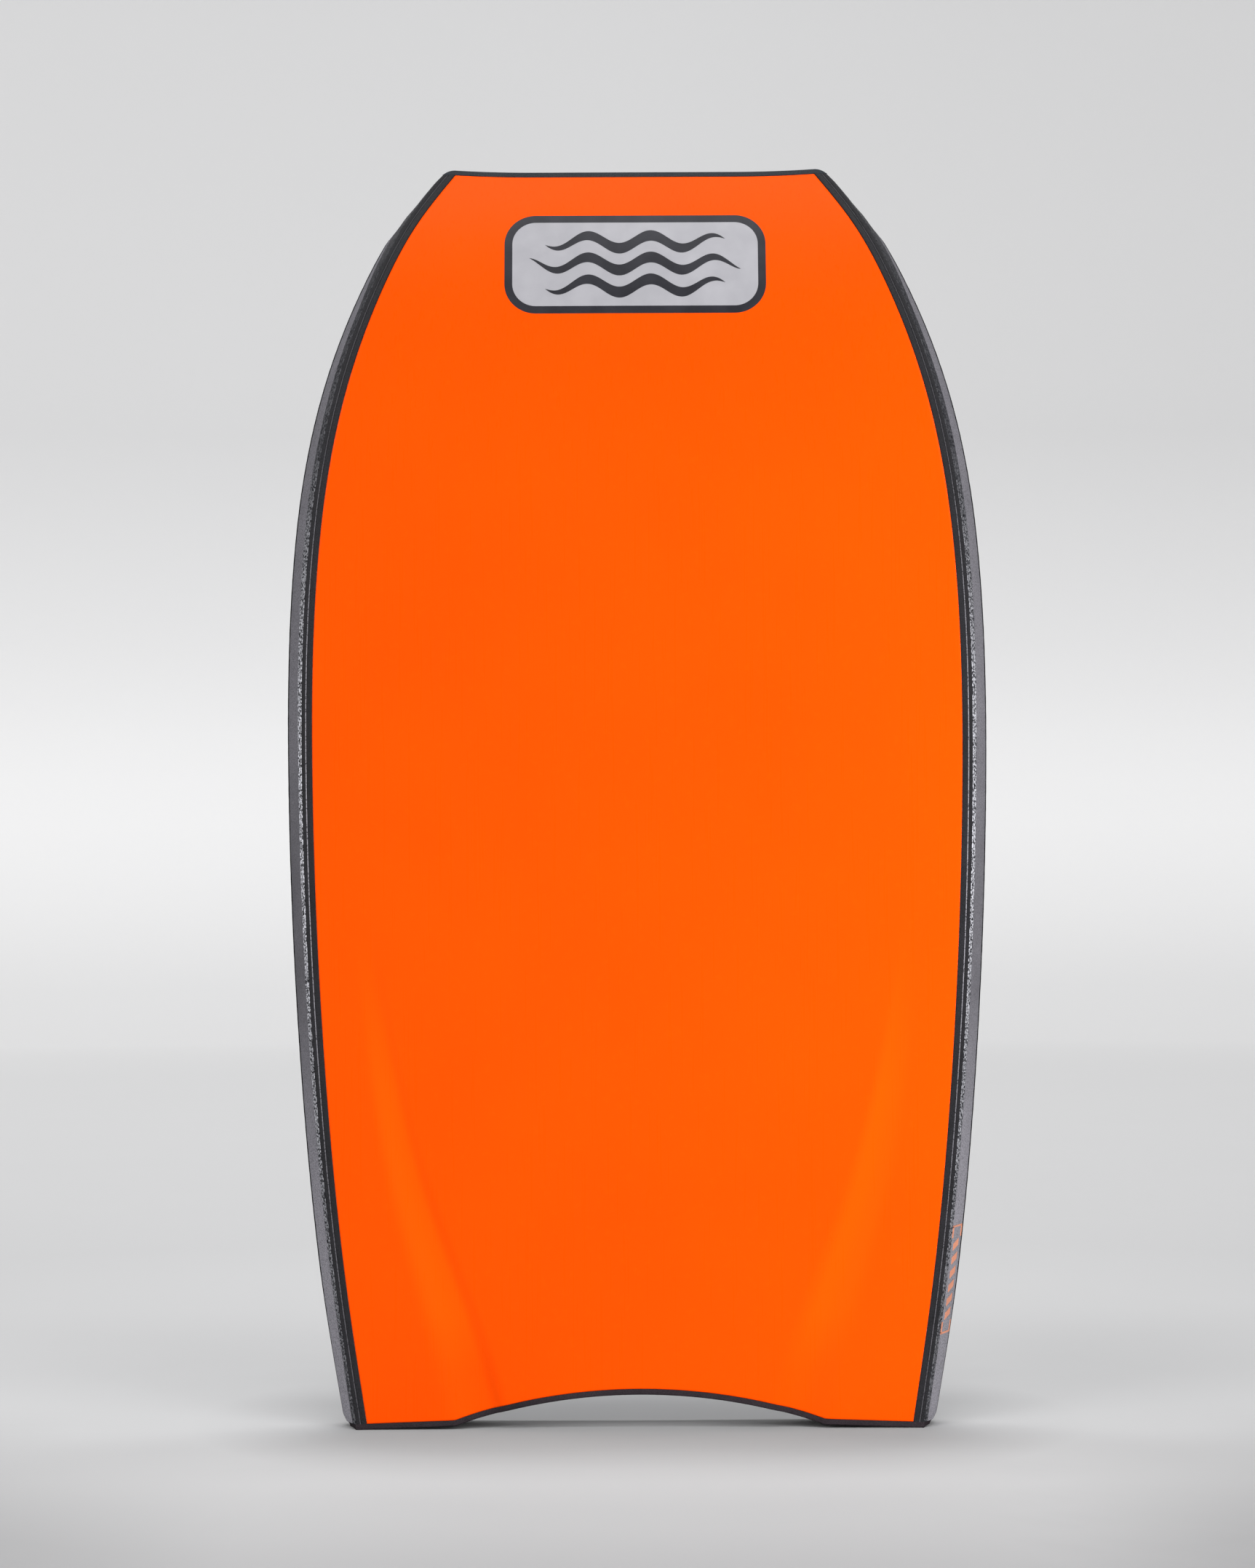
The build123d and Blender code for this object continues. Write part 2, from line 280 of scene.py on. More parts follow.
def plate(name, front, back, materials, slot, angle=38.0):
    """A thin closed solid between two grids of points, rows along the board."""
    rows, cols = len(front), len(front[0])
    points = [p for row in front for p in row] + [p for row in back for p in row]
    shift = rows * cols
    faces = []
    for i in range(rows - 1):
        for j in range(cols - 1):
            a, b = i * cols + j, (i + 1) * cols + j
            faces.append(((a, a + 1, b + 1, b), 0))
            faces.append(((shift + a, shift + b, shift + b + 1, shift + a + 1), 0))
    rim = list(range(cols))
    rim += [i * cols + cols - 1 for i in range(1, rows)]
    rim += [(rows - 1) * cols + j for j in range(cols - 2, -1, -1)]
    rim += [i * cols for i in range(rows - 2, 0, -1)]
    for a, b in zip(rim, rim[1:] + rim[:1]):
        faces.append(((b, a, shift + a, shift + b), 0))
    return finish_mesh(name, points, faces, materials, slot, angle)


def eased(count, fine=(0.0, 0.0003, 0.0008, 0.0016, 0.0030), span=0.56):
    """Steps from 0 to 1, with extra ones close to both ends so that an edge can roll over."""
    near = [f / span for f in fine]
    middle = np.linspace(near[-1], 1 - near[-1], count)
    return [*near[:-1], *middle, *[1 - f for f in reversed(near[:-1])]]


def roll(distance, radius):
    """How far a surface has dropped at a distance from its rounded edge."""
    if distance >= radius:
        return 0.0
    return radius - math.sqrt(max(0.0, radius**2 - (radius - distance) ** 2))


def swell(x, v):
    """The faint unevenness of a skin that was laminated on foam by heat."""
    return 0.00010 * (
        math.sin(31 * x + 1.3 + 2.0 * math.sin(9 * v)) * math.sin(23 * v + 0.7)
        + 0.6 * math.sin(57 * v + 17 * x + 2.1)
    )


# ---------------------------------------------------------------- materials
def new_material(name):
    material = bpy.data.materials.new(name)
    material.use_nodes = True
    tree = material.node_tree
    tree.nodes.clear()
    output = tree.nodes.new("ShaderNodeOutputMaterial")
    bsdf = tree.nodes.new("ShaderNodeBsdfPrincipled")
    tree.links.new(bsdf.outputs[0], output.inputs[0])
    place_node = tree.nodes.new("ShaderNodeTexCoord")
    return material, tree, bsdf, place_node.outputs["Object"]


def stretched(tree, coords, scale):
    node = tree.nodes.new("ShaderNodeMapping")
    node.inputs["Scale"].default_value = scale
    tree.links.new(coords, node.inputs["Vector"])
    return node.outputs[0]


def noise(tree, coords, scale, detail=2.0, rough=0.5):
    node = tree.nodes.new("ShaderNodeTexNoise")
    node.inputs["Scale"].default_value = scale
    node.inputs["Detail"].default_value = detail
    node.inputs["Roughness"].default_value = rough
    tree.links.new(coords, node.inputs["Vector"])
    return node.outputs["Fac"]


def cells(tree, coords, scale):
    node = tree.nodes.new("ShaderNodeTexVoronoi")
    node.inputs["Scale"].default_value = scale
    tree.links.new(coords, node.inputs["Vector"])
    return node.outputs["Distance"]


def ranged(tree, value, low, high, to_low, to_high):
    node = tree.nodes.new("ShaderNodeMapRange")
    for key, number in zip(("From Min", "From Max", "To Min", "To Max"), (low, high, to_low, to_high)):
        node.inputs[key].default_value = number
    tree.links.new(value, node.inputs["Value"])
    return node.outputs[0]


def blended(tree, factor, a, b):
    """Colours a and b mixed by a factor; each is a colour or a socket."""
    node = tree.nodes.new("ShaderNodeMix")
    node.data_type = "RGBA"
    tree.links.new(factor, node.inputs[0])
    for value, socket in ((a, node.inputs[6]), (b, node.inputs[7])):
        if isinstance(value, tuple):
            socket.default_value = (*value, 1)
        else:
            tree.links.new(value, socket)
    return node.outputs[2]


def bumped(tree, height, distance, strength, below=None):
    node = tree.nodes.new("ShaderNodeBump")
    node.inputs["Distance"].default_value = distance
    node.inputs["Strength"].default_value = strength
    tree.links.new(height, node.inputs["Height"])
    if below is not None:
        tree.links.new(below, node.inputs["Normal"])
    return node.outputs[0]


def attribute(tree, name, output="Fac"):
    node = tree.nodes.new("ShaderNodeAttribute")
    node.attribute_name = name
    return node.outputs[output]


def slick_material(name, base, deep, bright, channel_sheen):
    """Smooth polyethylene skin: faint mottling, an orange-peel surface and fine scuffs along the board.

    channel_sheen is a paler colour of painted sheen, put where the mesh says that the skin runs in a channel.
    """
    material, tree, bsdf, coords = new_material(name)
    cloud = noise(tree, coords, 7.0, 3.0)
    fine = noise(tree, coords, 160.0, 3.0)
    tone = blended(tree, ranged(tree, cloud, 0.3, 0.7, 0.0, 1.0), deep, base)
    # painted sheen: paler orange in the channels, where the mesh asks for it
    tone = blended(tree, attribute(tree, "channel_sheen"), tone, channel_sheen)
    tone = blended(tree, ranged(tree, fine, 0.55, 0.8, 0.0, 0.35), tone, bright)
    tree.links.new(tone, bsdf.inputs["Base Color"])
    scuff = noise(tree, stretched(tree, coords, (420.0, 420.0, 9.0)), 1.0, 4.0, 0.6)
    tree.links.new(ranged(tree, scuff, 0.35, 0.75, 0.26, 0.38), bsdf.inputs["Roughness"])
    peel = bumped(tree, noise(tree, coords, 210.0, 1.0), 0.0004, 0.10)
    wave = bumped(tree, noise(tree, coords, 22.0, 1.0), 0.004, 0.07, peel)
    tree.links.new(bumped(tree, scuff, 0.0002, 0.10, wave), bsdf.inputs["Normal"])
    bsdf.inputs["Specular IOR Level"].default_value = 0.04
    return material


def foam_material(name, dark, light, cell, depth, rough=(0.6, 0.85), flecks=None, specular=0.35, painted_light_colour=None):
    """Closed-cell foam with a pebbled skin.

    flecks is the colour of painted glints, cell walls that catch the light, and how rare they are.
    painted_light_colour is a paler colour of painted light that the foam is lifted to. The mesh says how much
    of each a rail shows.
    """
    material, tree, bsdf, coords = new_material(name)
    pebble = cells(tree, coords, 1.0 / cell)
    small = cells(tree, coords, 2.6 / cell)
    cloud = noise(tree, coords, 26.0, 4.0, 0.6)
    tone = blended(tree, ranged(tree, cloud, 0.3, 0.7, 0.0, 1.0), dark, light)
    # painted light: the foam turned paler where the mesh asks for it
    if painted_light_colour:
        tone = blended(tree, attribute(tree, "fade"), tone, painted_light_colour)
    # painted shade: the hollows between the pebbles are darker
    hollow = ranged(tree, pebble, 0.35, 0.75, 0.0, 0.55)
    tone = blended(tree, hollow, tone, tuple(c * 0.55 for c in dark))
    # painted glints, partly real wear, where the mesh's scuff share allows
    if flecks:
        grain = noise(tree, coords, 0.8 / cell, 2.0, 0.7)
        spark = ranged(tree, grain, flecks[1], flecks[1] + 0.12, 0.0, 1.0)
        product = tree.nodes.new("ShaderNodeMath")
        product.operation = "MULTIPLY"
        tree.links.new(spark, product.inputs[0])
        tree.links.new(attribute(tree, "scuff"), product.inputs[1])
        tone = blended(tree, product.outputs[0], tone, flecks[0])
    tree.links.new(tone, bsdf.inputs["Base Color"])
    tree.links.new(ranged(tree, cloud, 0.3, 0.7, *rough), bsdf.inputs["Roughness"])
    fine = bumped(tree, small, depth * 0.4, 0.5)
    soft = bumped(tree, noise(tree, coords, 60.0, 2.0), depth * 3, 0.25, fine)
    node = bumped(tree, ranged(tree, pebble, 0.0, 0.8, 1.0, 0.0), depth, 0.9, soft)
    tree.links.new(node, bsdf.inputs["Normal"])
    bsdf.inputs["Specular IOR Level"].default_value = specular
    return material


def ink_material(name, base, patch):
    """Screen-printed ink on plastic: slightly uneven cover, a little glossier than what is under it."""
    material, tree, bsdf, coords = new_material(name)
    grain = noise(tree, coords, 900.0, 2.0)
    cloud = noise(tree, coords, 45.0, 3.0)
    tone = blended(tree, ranged(tree, cloud, 0.35, 0.7, 0.0, 1.0), base, patch)
    tone = blended(tree, ranged(tree, grain, 0.62, 0.75, 0.0, 0.25), tone, patch)
    tree.links.new(tone, bsdf.inputs["Base Color"])
    tree.links.new(ranged(tree, grain, 0.3, 0.7, 0.30, 0.45), bsdf.inputs["Roughness"])
    tree.links.new(bumped(tree, grain, 0.00008, 0.4), bsdf.inputs["Normal"])
    bsdf.inputs["Specular IOR Level"].default_value = 0.25
    return material


def bead_foam_material(name, base, gap):
    """Moulded bead foam of the core: packed round beads with darker joints."""
    material, tree, bsdf, coords = new_material(name)
    bead = cells(tree, coords, 260.0)
    tone = blended(tree, ranged(tree, bead, 0.45, 0.8, 0.0, 1.0), base, gap)
    tree.links.new(tone, bsdf.inputs["Base Color"])
    tree.links.new(ranged(tree, bead, 0.0, 0.8, 0.55, 0.85), bsdf.inputs["Roughness"])
    tree.links.new(bumped(tree, ranged(tree, bead, 0.0, 0.8, 1.0, 0.0), 0.0008, 0.8), bsdf.inputs["Normal"])
    return material


def tube_material(name, dark, light):
    """Glass-fibre tube: windings that cross, under resin."""
    material, tree, bsdf, coords = new_material(name)
    wave = tree.nodes.new("ShaderNodeTexWave")
    wave.inputs["Scale"].default_value = 90.0
    wave.inputs["Distortion"].default_value = 1.5
    tree.links.new(coords, wave.inputs["Vector"])
    tree.links.new(blended(tree, wave.outputs["Fac"], dark, light), bsdf.inputs["Base Color"])
    tree.links.new(ranged(tree, wave.outputs["Fac"], 0.0, 1.0, 0.25, 0.4), bsdf.inputs["Roughness"])
    tree.links.new(bumped(tree, wave.outputs["Fac"], 0.0003, 0.4), bsdf.inputs["Normal"])
    return material


ORANGE = slick_material(
    "slick_orange", (0.97, 0.0740, 0.0002), (0.95, 0.0690, 0.0002), (1.0, 0.0850, 0.0004),
    channel_sheen=(0.98, 0.0885, 0.0003),
)
BLACK_FOAM = foam_material("foam_black", (0.012, 0.012, 0.014), (0.022, 0.021, 0.025), 0.0011, 0.00025)
# Its pale flecks are painted glints too, partly real wear.
SEAM_GREY = foam_material(
    "foam_seam", (0.022, 0.021, 0.024), (0.045, 0.043, 0.050), 0.0010, 0.0002, (0.35, 0.6),
    flecks=((0.30, 0.29, 0.32), 0.36),
)
# The rail's dark foam given a painted grey sheen for the light on its side face, made paler still by painted
# light that varies with height.
RAIL_PAINTED_SHEEN = foam_material(
    "foam_rail_painted_sheen", (0.120, 0.116, 0.130), (0.150, 0.145, 0.162), 0.0012, 0.00022,
    painted_light_colour=(0.33, 0.318, 0.355),
)
# The rail corner's dark foam, with pale flecks of painted glint that stand partly for real wear.
BEAD_GLINTS_AND_WEAR = foam_material(
    "foam_bead_glints_and_wear", (0.014, 0.014, 0.017), (0.034, 0.034, 0.040), 0.0016, 0.0005, (0.35, 0.6),
    flecks=((0.90, 0.90, 0.97), 0.45), specular=0.5,
)
# How many painted glints, partly real scuffs, the corner of the rail shows, and how much painted light makes
# its side face paler: (height, share).
GLINT_AND_SCUFF = [
    (0.0, 0.15), (0.20, 0.40), (0.38, 0.75), (0.48, 1.0),
    (0.62, 0.95), (0.74, 0.50), (0.86, 0.12), (1.2, 0.0),
]
FACE_PAINTED_LIGHT = [(0.0, 1.0), (0.20, 1.0), (0.30, 0.55), (0.38, 0.10), (0.50, 0.12), (0.62, 0.38), (1.2, 0.35)]
GLINT_AND_SCUFF_RIGHT = 0.62  # the right rail's corner has fewer painted glints and scuffs
FACE_PAINTED_LIGHT_RIGHT = 0.64  # and its side face gets less painted light
DECK_FOAM = foam_material(
    "foam_deck", (0.020, 0.035, 0.062), (0.030, 0.050, 0.085), 0.0022, 0.00035, (0.55, 0.75),
)
NOSE_FOAM = foam_material("foam_nose", (0.013, 0.017, 0.022), (0.022, 0.028, 0.036), 0.0011, 0.00025)
TAIL_FOAM = foam_material("foam_tail", (0.020, 0.014, 0.018), (0.034, 0.024, 0.030), 0.0011, 0.00025)
INK_BLACK = ink_material("ink_black", (0.013, 0.013, 0.018), (0.022, 0.022, 0.029))
INK_PALE = ink_material("ink_pale", (0.320, 0.317, 0.340), (0.355, 0.350, 0.375))
INK_ORANGE = ink_material("ink_orange", (0.64, 0.26, 0.16), (0.54, 0.235, 0.16))

CORE_BEADS = bead_foam_material("core_beads", (0.75, 0.74, 0.70), (0.42, 0.41, 0.38))
TUBE_FIBRE = tube_material("stringer_fibre", (0.03, 0.03, 0.03), (0.11, 0.11, 0.10))
CAP_GREY = foam_material("cap_grey", (0.40, 0.40, 0.42), (0.50, 0.50, 0.52), 0.003, 0.0001)
INNER_FINISH = {
    "core": CORE_BEADS, "stringer": TUBE_FIBRE, "stringer_cap_tail": CAP_GREY, "stringer_cap_nose": CAP_GREY,
}
for node, material in INNER_FINISH.items():
    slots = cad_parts[node].data.materials
    slots.clear()
    slots.append(material)

# ---------------------------------------------------------------- slick and deck
COLUMNS = [2 * s - 1 for s in eased(170)]
ROWS = eased(250, span=1.11)


def skin_grid(half_at, depth_at):
    """A grid over the board between the tail band and the nose band."""
    grid = []
    for r in ROWS:
        row = []
        for s in COLUMNS:
            x, v = 0.0, 0.0
            for _ in range(4):
                v = tail_v(x, BAND) + r * (nose_v(x, BAND) - tail_v(x, BAND))
                x = s * half_at(v)
            rim = min(half_at(v) - abs(x), v - tail_v(x, BAND), nose_v(x, BAND) - v)
            row.append(place(x, v, depth_at(x, v, max(0.0, rim))))
        grid.append(row)
    return grid


def slick_half(v):
    return edge(v)[0]


def deck_half(v):
    half, square = edge(v)
    return half + (FLARE - TUCK) * square


def slick_face(x, v, rim):
    return 0.55 * roll(rim, 0.0018) + channel_depth(x, v) + swell(x, v) * min(1.0, rim / 0.01)


def slick_back(x, v, rim):
    return SLICK + channel_depth(x, v)


def deck_face(x, v, rim):
    return THICK - roll(rim, 0.0022) - abs(swell(v, x)) * 2


def deck_back(x, v, rim):
    return THICK - DECK_SKIN


slick_front = skin_grid(slick_half, slick_face)
slick = plate("slick_skin", slick_front, skin_grid(slick_half, slick_back), [ORANGE], "slick")
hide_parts("slick")
slick.visible_diffuse = False  # keeps the pale floor free of an orange cast
# How much painted sheen the slick shows in the channels, a paler orange standing in for light on their walls:
# (height, share).
CHANNEL_SHEEN = [(0.0, 0.10), (0.05, 0.25), (0.10, 1.0), (0.30, 0.9), (0.38, 0.25), (0.44, 0.0)]
# The same across a channel: (distance from its centre as a share of its half width, share).
CHANNEL_SHEEN_ACROSS = [(0.0, 1.0), (0.45, 0.95), (0.65, 0.78), (0.90, 0.32), (1.08, 0.08), (1.25, 0.0)]
# Painted sheen in the channels, by height and across each channel.
sheen_mask = slick.data.attributes.new("channel_sheen", "FLOAT", "POINT")
for vertex, item in zip(slick.data.vertices, sheen_mask.data):
    x, y, z = vertex.co
    if z < CHANNEL_END:
        centre, half, _ = CHANNELS[int(round(z / CHANNEL_STEP))]
        share = float(np.interp(abs(abs(x) - centre) / half, *zip(*CHANNEL_SHEEN_ACROSS)))
        item.value = share * float(np.interp(z, *zip(*CHANNEL_SHEEN)))
deck_top = skin_grid(deck_half, deck_face)
deck = plate("deck_pad", deck_top, skin_grid(deck_half, deck_back), [DECK_FOAM], "deck")
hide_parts("deck_skin")

# ---------------------------------------------------------------- rails
RAIL_V = [BAND + (NOSE_V - BAND) * t for t in eased(210, (0.0, 0.0015, 0.0030, 0.0050, 0.0080, 0.0120), 1.12)]


def rail_end(out, v):
    """Where a ring of a rail lies, so that the rail runs from the tail band to the nose band."""
    x = edge(v)[0] + out
    low, high = tail_v(x, BAND), nose_v(x, BAND)
    return low + (high - low) * (v - BAND) / (NOSE_V - BAND)


def rail(name, side, profile_at, paint, materials, slot, uneven=0.0, glint_and_scuff_share=1.0):
    """A strip down one side. Its closed profile of (out, deep) points may change along the board."""
    rings = []
    for i, v in enumerate(RAIL_V):
        ring = []
        for j, (out, w) in enumerate(profile_at(v)):
            wobble = uneven * math.sin(7.1 * i + 2.3 * j) * math.sin(2.9 * i + 1.1 * j)
            ring.append(rail_point(side, out + wobble, rail_end(out, v), w))
        rings.append(ring)
    piece = loft(name, rings, materials, slot, paint, 50.0)
    # Painted light by height: glints on the corner, partly real scuffs, and a paler side face.
    face_lit_share = FACE_PAINTED_LIGHT_RIGHT if side > 0 else 1.0
    for mark_name, table, share in (("scuff", GLINT_AND_SCUFF, glint_and_scuff_share), ("fade", FACE_PAINTED_LIGHT, face_lit_share)):
        values = piece.data.attributes.new(mark_name, "FLOAT", "POINT")
        spots, levels = zip(*table)
        for vertex, item in zip(piece.data.vertices, values.data):
            item.value = share * float(np.interp(vertex.co.z, spots, levels))
    return piece


def bend(centre, radius, start, stop, count):
    """Points of an arc, angles in degrees from the out direction towards deep."""
    return [
        (centre[0] + radius * math.cos(math.radians(a)), centre[1] + radius * math.sin(math.radians(a)))
        for a in np.linspace(start, stop, count)
    ]


def face_points(first, last, count):
    """Points on the leaning side face, a touch crowned between its edges."""
    points = []
    for t in np.linspace(0, 1, count):
        w = first + (last - first) * t
        points.append((RAIL_ALL + side_out(w) + 0.0004 * math.sin(math.pi * t) - 0.0003, w))
    return points


def inner_profile(v):
    return [
        (0.0001, 0.0016), (0.0002, 0.0006), (0.0006, 0.0002), (0.0014, 0.0001), (0.0040, 0.0001),
        (0.0047, 0.0003), (0.0051, 0.0009), (0.0054 + FLARE, APEX), (0.0002 + FLARE, APEX),
    ]


def outer_profile(v):
    """Black edge, corner with painted glints, side face in a painted grey sheen, black apex. The dark corner
    widens towards the nose, where less of the face gets the painted sheen.
    """
    corner_end = float(np.interp(v, (0.60, 0.82, 1.00, 1.08), (0.0080, 0.0125, 0.0135, 0.0300)))
    corner = bend((RAIL_ALL - 0.0019, 0.0023), 0.0023, -90, 10, 8)
    side_face = face_points(0.0040, corner_end, 3) + face_points(corner_end, 0.0334, 8)[1:]
    apex = bend((RAIL_ALL + FLARE - 0.0016, APEX - 0.0014), 0.0013, -15, 85, 5)
    return [
        (0.0056, 0.0012), (0.0060, 0.0004), (0.0066, 0.0001), *corner, *side_face,
        (RAIL_ALL + side_out(0.0345) - 0.0003, 0.0345), *apex, (0.0057 + FLARE, APEX),
    ]


# Per face: black edge, corner with painted glints, side face in painted grey sheen, black apex.
OUTER_PAINT = [0] * 5 + [1] * 8 + [2] * 7 + [0] * 8


def upper_profile(v):
    apex = bend((RAIL_ALL + FLARE - 0.0018, APEX + 0.0016), 0.0015, -85, 25, 5)
    chine = [
        (RAIL_ALL + side_out(w) + 0.0005 * math.sin(math.pi * (w - APEX) / 0.02) - 0.0004, w)
        for w in np.linspace(APEX + 0.004, 0.0545, 7)
    ]
    shoulder = bend((0.0006, 0.0537), 0.0062, 35, 90, 8)
    return [
        (0.0001 + FLARE, APEX + 0.0001), *apex, *chine, *shoulder,
        (-0.0046, 0.0597), (-0.0049, 0.0590), (-0.0049, 0.0570),
    ]


def weld_profile(v):
    return bend((0.00555, 0.00075), 0.00055, 0, 315, 8)


for name, side in (("left", 1), ("right", -1)):
    strip = rail("rail_core_strip_" + name, side, inner_profile, [0] * 9, [BLACK_FOAM], "rail_inner")
    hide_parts("rail_inner_" + name)
    foams = [BLACK_FOAM, BEAD_GLINTS_AND_WEAR, RAIL_PAINTED_SHEEN]
    glint_and_scuff_share = GLINT_AND_SCUFF_RIGHT if side > 0 else 1.0
    face = rail(
        "rail_face_strip_" + name, side, outer_profile, OUTER_PAINT, foams, "rail_outer", 0.00008, glint_and_scuff_share,
    )
    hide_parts("rail_outer_" + name)
    chine = rail("rail_chine_" + name, side, upper_profile, [0] * 24, [BLACK_FOAM], "rail_upper")
    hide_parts("rail_upper_" + name)
    rail("rail_weld_" + name, side, weld_profile, [0] * 8, [SEAM_GREY], "rail_inner")

# ---------------------------------------------------------------- tail and nose bands
def across(reach, kinks, count):
    """Places across the board, with extra ones close to each kink of the outline."""
    spots = set(np.linspace(-reach, reach, count))
    for kink in kinks:
        for step in (-0.002, -0.0008, 0.0, 0.0008, 0.002):
            spots.update((kink + step, -kink - step))
    for gap in (0.0002, 0.0005, 0.0010, 0.0016, 0.0024, 0.0034, 0.0046, 0.0060, 0.0075):
        spots.update((reach - gap, gap - reach))
    return sorted(x for x in spots if abs(x) <= reach)


def held_in(x, v, w):
    """A point of a band, kept inside the board's side."""
    half, square = edge(v)
    limit = half + (RAIL_ALL + side_out(w)) * square
    return place(math.copysign(min(abs(x), limit), x), v, w)


def band(name, node, edge_at, reach, kinks, material):
    """A foam strip along the tail or the nose, round on its two outer corners."""
    rings = []
    for x in across(reach, kinks, 240):
        rim, root = edge_at(x, 0.0), edge_at(x, BAND)
        grow = 1.0 if rim > root else -1.0
        tall = abs(rim - root)
        near, far = min(0.0012, tall), min(0.0030, tall)
        dent = channel_depth(x, min(rim, root))
        ring = [(dent + 0.0001, root)]
        for a in np.linspace(0, 90, 5):
            c, s = math.cos(math.radians(a)), math.sin(math.radians(a))
            ring.append((dent + near * (1 - c), rim - grow * near * (1 - s)))
        for t in (0.25, 0.5, 0.75):
            ring.append((dent + (THICK - dent) * t, rim - grow * min(0.0002, tall)))
        for a in np.linspace(90, 0, 7):
            c, s = math.cos(math.radians(a)), math.sin(math.radians(a))
            ring.append((THICK - far * (1 - c), rim - grow * far * (1 - s)))
        ring.append((THICK - 0.0001, root))
        rings.append([held_in(x, v, w) for w, v in ring])
    piece = loft(name, rings, [material], "band", None, 50.0)
    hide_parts(node)


TAIL_REACH = corner_limit(BAND) - 0.00005
NOSE_REACH = corner_limit(nose_v(0.170, BAND)) - 0.00005
band("tail_strip", "tail_band", tail_v, TAIL_REACH, (PEG_INSIDE, TAIL_CORNER_START), TAIL_FOAM)
band("nose_strip", "nose_band", nose_v, NOSE_REACH, (NOSE_FLAT, NOSE_CORNER_START), NOSE_FOAM)

# ---------------------------------------------------------------- grip bulbs
BULB_HALF = 0.066
BULB_WIDE = 0.021
BULB_TALL = 0.010
BULB_X = 0.140
BULB_V = NOSE_V - 0.074
BULB_LEAN = math.radians(47)


def bulb(name, side):
    """A long soft dome on the deck beside the nose, with a moulded foot."""
    steps = [(0.0, -0.0008), (0.0, 0.0), (0.0006, 0.0007), (0.0014, 0.0018)]
    for t in np.linspace(0.12, 0.97, 16):
        steps.append((BULB_WIDE * t, BULB_TALL * (1 - (1 - t) ** 2.4) ** 0.62))
    rings = []
    for inset, height in steps:
        ring = []
        for k in range(72):
            turn = 2 * math.pi * k / 72
            shift = math.copysign(BULB_HALF - BULB_WIDE, math.cos(turn))
            along = shift + (BULB_WIDE - inset) * math.cos(turn)
            wide = (BULB_WIDE - inset) * math.sin(turn)
            x = BULB_X - math.sin(BULB_LEAN) * along + math.cos(BULB_LEAN) * wide
            v = BULB_V + math.cos(BULB_LEAN) * along + math.sin(BULB_LEAN) * wide
            ring.append(place(side * x, v, THICK + height))
        rings.append(ring)
    piece = loft(name, rings, [DECK_FOAM], "bulb", None, 60.0)
    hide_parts(name.replace("grip_pad", "bulb"))


bulb("grip_pad_left", 1)
bulb("grip_pad_right", -1)

# ---------------------------------------------------------------- printed marks
BADGE_V = 1.033
BADGE_HALF = 0.116
BADGE_TALL = 0.047
BADGE_ROUND = 0.028
BADGE_BORDER = 0.0070
WAVE_LENGTH = 0.056
WAVE_RISE = 0.0062
WAVE_THICK = 0.0105
WAVES = ((-0.021, 0.080), (0.0, 0.094), (0.021, 0.080))  # (up from the badge's middle, half length)


def decal(name, rows, proud, material):
    """A printed patch on the slick: rows of (x, v) points, standing proud by the thickness of the ink."""
    front = [[place(x, v, -proud + swell(x, v)) for x, v in row] for row in rows]
    back = [[place(x, v, 0.0002 + swell(x, v)) for x, v in row] for row in rows]
    plate(name, front, back, [material], "slick")


def rounded_rows(half, tall, corner):
    rows = []
    for t in np.linspace(-1, 1, 49):
        dv = tall * math.sin(math.pi / 2 * t)
        over = max(0.0, abs(dv) - (tall - corner))
        wide = half - corner + math.sqrt(max(0.0, corner**2 - over**2))
        rows.append([(wide * s, BADGE_V + dv) for s in np.linspace(-1, 1, 41)])
    return rows


def wave_rows(rise, length, thick):
    """One tapered wave of the emblem."""
    rows = []
    for t in np.linspace(-0.5, 0.5, 6):
        row = []
        for s in np.linspace(-1, 1, 97):
            taper = (1 - abs(s) ** 2.6) ** 0.8
            crest = math.sin(2 * math.pi * s * length / WAVE_LENGTH)
            row.append((s * length, BADGE_V + rise + WAVE_RISE * crest + t * thick * taper))
        rows.append(row)
    return rows


decal("badge_border", rounded_rows(BADGE_HALF, BADGE_TALL, BADGE_ROUND), 0.00008, INK_BLACK)
inner = (BADGE_HALF - BADGE_BORDER, BADGE_TALL - BADGE_BORDER, BADGE_ROUND - BADGE_BORDER)
decal("badge_field", rounded_rows(*inner), 0.00014, INK_PALE)
for number, (rise, length) in enumerate(WAVES):
    decal("badge_wave_%d" % number, wave_rows(rise, length, WAVE_THICK), 0.00020, INK_BLACK)


def side_patch(name, corners, steps=6):
    """A printed patch on the side face near the tail: four (v, w) corners in order."""
    (v0, w0), (v1, w1), (v2, w2), (v3, w3) = corners
    grids = []
    for proud in (0.00045, -0.0003):
        grid = []
        for s in np.linspace(0, 1, steps):
            row = []
            for t in np.linspace(0, 1, steps):
                v = (v0 * (1 - t) + v1 * t) * (1 - s) + (v3 * (1 - t) + v2 * t) * s
                w = (w0 * (1 - t) + w1 * t) * (1 - s) + (w3 * (1 - t) + w2 * t) * s
                row.append(rail_point(1, RAIL_ALL + side_out(w) + proud, v, w))
            grid.append(row)
        grids.append(grid)
    plate(name, grids[0], grids[1], [INK_ORANGE], "rail_outer")


def side_box(name, v0, v1, w0, w1, slant=0.0):
    side_patch(name, ((v0, w0), (v0 + slant, w1), (v1 + slant, w1), (v1, w0)))


